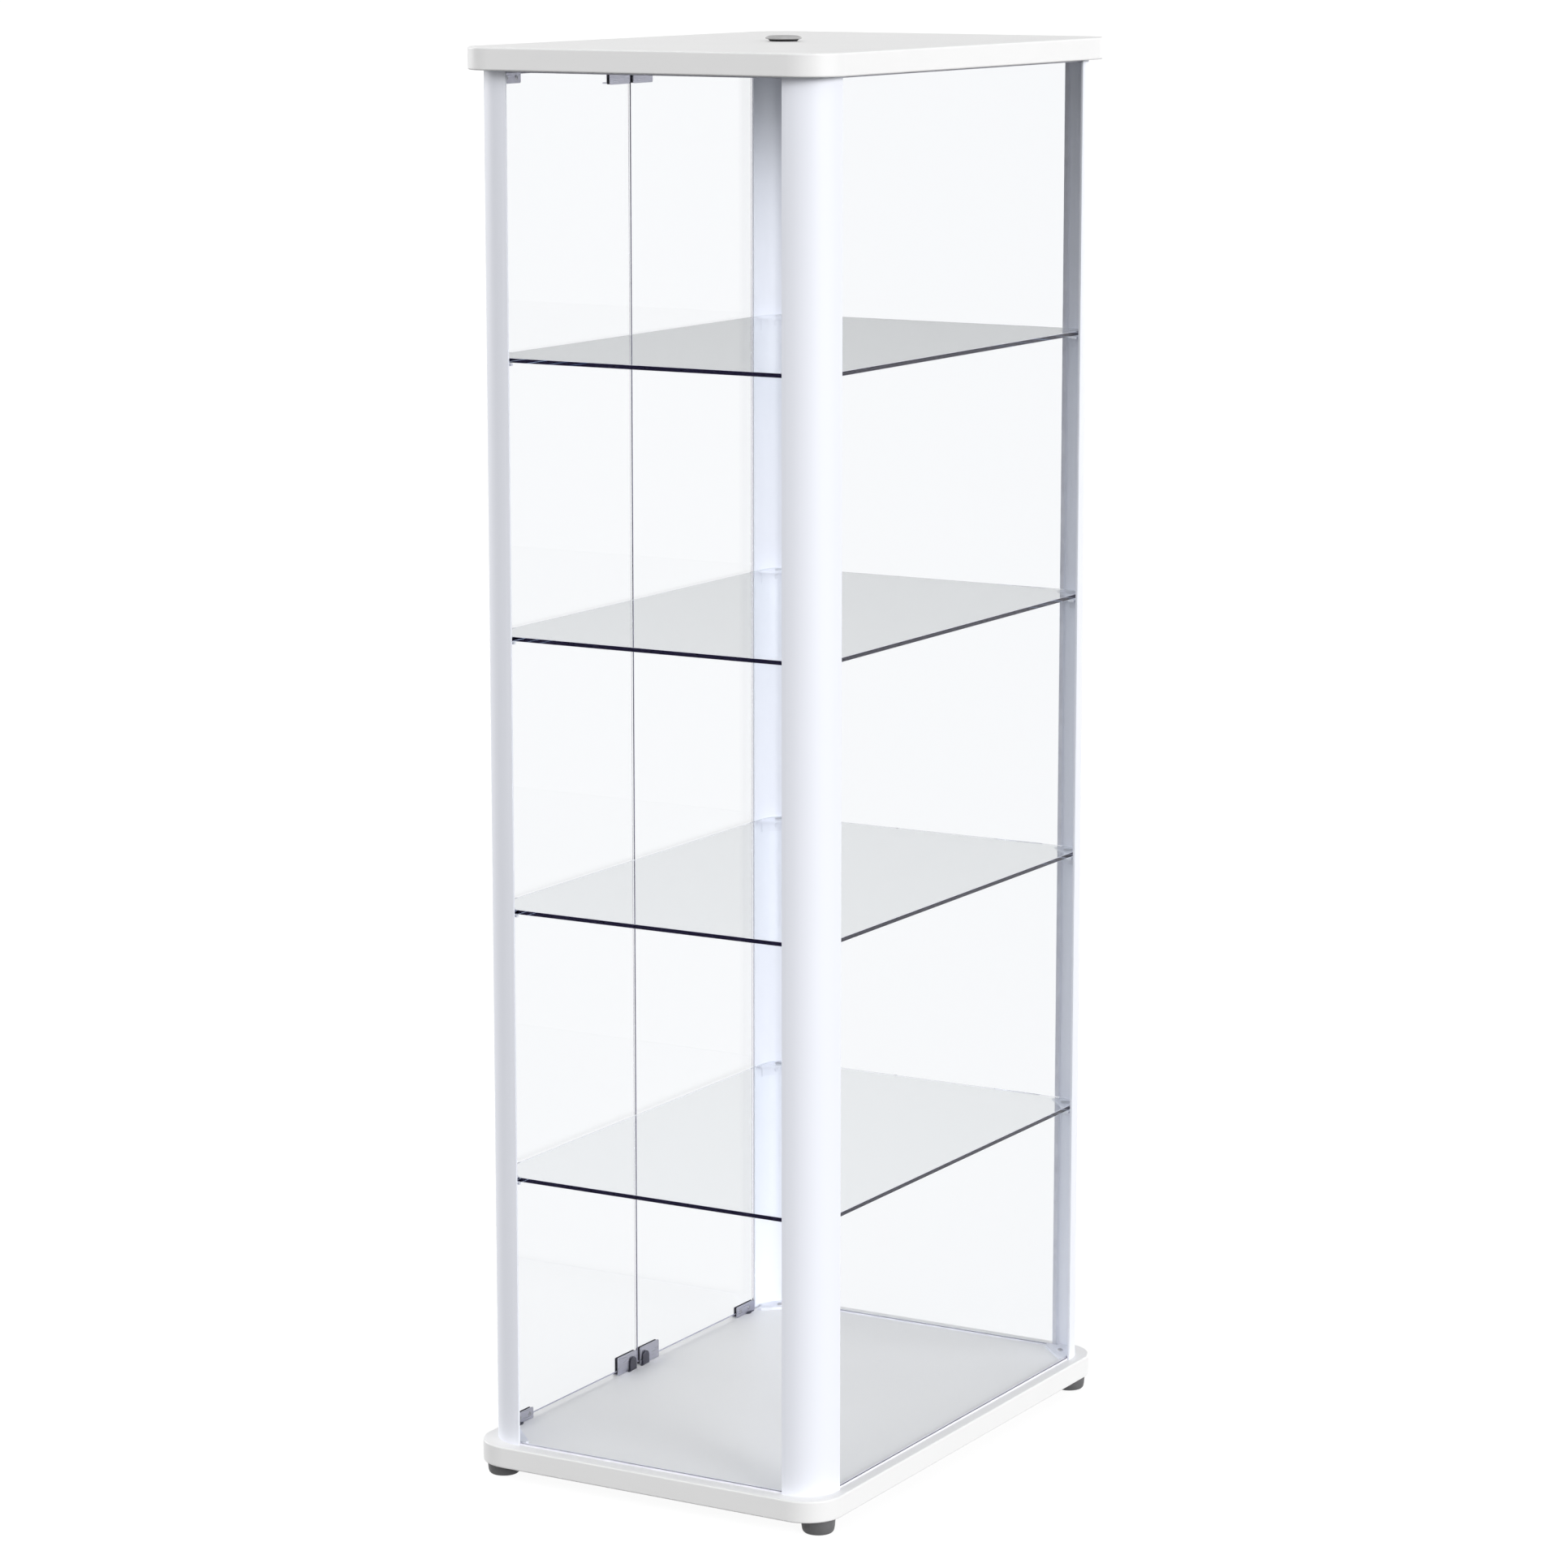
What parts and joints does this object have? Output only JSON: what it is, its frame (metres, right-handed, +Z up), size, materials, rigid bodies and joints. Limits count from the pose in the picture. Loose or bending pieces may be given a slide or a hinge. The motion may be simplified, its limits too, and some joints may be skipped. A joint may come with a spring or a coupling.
{
  "type": "curio display cabinet",
  "caption": "Tall four-post display cabinet with clear glass sides, glass shelves on corner brackets, a cord outlet in the top and a pair of frameless glass swing doors.",
  "frame": {"origin": "centre of the footprint on the floor, at the underside of the feet", "axes": "+Z up; the doors face -Y; +X is the cabinet's right-hand side as seen from the front"},
  "size_m": [0.686, 0.464, 1.6244],
  "materials": {
    "white_laminate": "satin white laminate with a rounded edge band",
    "white_extrusion": "smooth satin white coated extrusion",
    "shelf_glass": "clear float glass with ground edges",
    "panel_glass": "clear float glass",
    "clear_vinyl": "translucent strip",
    "coated_bracket": "satin pale grey coating",
    "grey_pad_rubber": "soft grey pad",
    "plated_steel": "zinc plated",
    "foot_rubber": "moulded dark grey",
    "clip_liner_rubber": "black liner",
    "black_plastic": "moulded black",
    "magnet": "dark ferrite",
    "satin_clip": "satin nickel",
    "grey_plastic": "moulded grey",
    "black_gasket": "soft black ring"
  },
  "bodies": {
    "cabinet": {"top_panel": "white_laminate", "base_panel": "white_laminate", "post_back_right": "white_extrusion", "post_back_left": "white_extrusion", "post_front_left": "white_extrusion", "post_front_right": "white_extrusion", "side_glass_right": "panel_glass", "side_glass_left": "panel_glass", "back_glass": "panel_glass", "panel_tapes": "clear_vinyl", "panel_seals_lower": "clear_vinyl", "panel_seals_upper": "clear_vinyl", "shelf_1": "shelf_glass", "shelf_2": "shelf_glass", "shelf_3": "shelf_glass", "shelf_4": "shelf_glass", "shelf_1_brackets": "coated_bracket", "shelf_2_brackets": "coated_bracket", "shelf_3_brackets": "coated_bracket", "shelf_4_brackets": "coated_bracket", "shelf_1_pads": "grey_pad_rubber", "shelf_2_pads": "grey_pad_rubber", "shelf_3_pads": "grey_pad_rubber", "shelf_4_pads": "grey_pad_rubber", "bracket_screws": "plated_steel", "lower_corner_plates": "coated_bracket", "upper_corner_plates": "coated_bracket", "plate_screws": "plated_steel", "feet": "foot_rubber", "foot_screws": "plated_steel", "pivot_bushes": "black_plastic", "catch_magnets": "magnet", "catch_cases": "black_plastic", "cord_grommet": "grey_plastic", "grommet_gasket": "black_gasket"},
    "right_door": {"door_glass_right": "panel_glass", "hinge_clips_right": "satin_clip", "hinge_liners_right": "clip_liner_rubber", "hinge_pins_right": "plated_steel", "clamp_screws_right": "plated_steel", "catch_clips_right": "satin_clip", "catch_liners_right": "clip_liner_rubber"},
    "left_door": {"door_glass_left": "panel_glass", "hinge_clips_left": "satin_clip", "hinge_liners_left": "clip_liner_rubber", "hinge_pins_left": "plated_steel", "clamp_screws_left": "plated_steel", "catch_clips_left": "satin_clip", "catch_liners_left": "clip_liner_rubber"}
  },
  "joints": [
    {"name": "right_door_hinge", "type": "hinge", "parent": "cabinet", "child": "right_door", "pos_m": [0.27, -0.2193, 0.8], "axis": [0, 0, 1], "range_deg": [0, 110]},
    {"name": "left_door_hinge", "type": "hinge", "parent": "cabinet", "child": "left_door", "pos_m": [-0.27, -0.2193, 0.8], "axis": [0, 0, -1], "range_deg": [0, 110]}
  ]
}
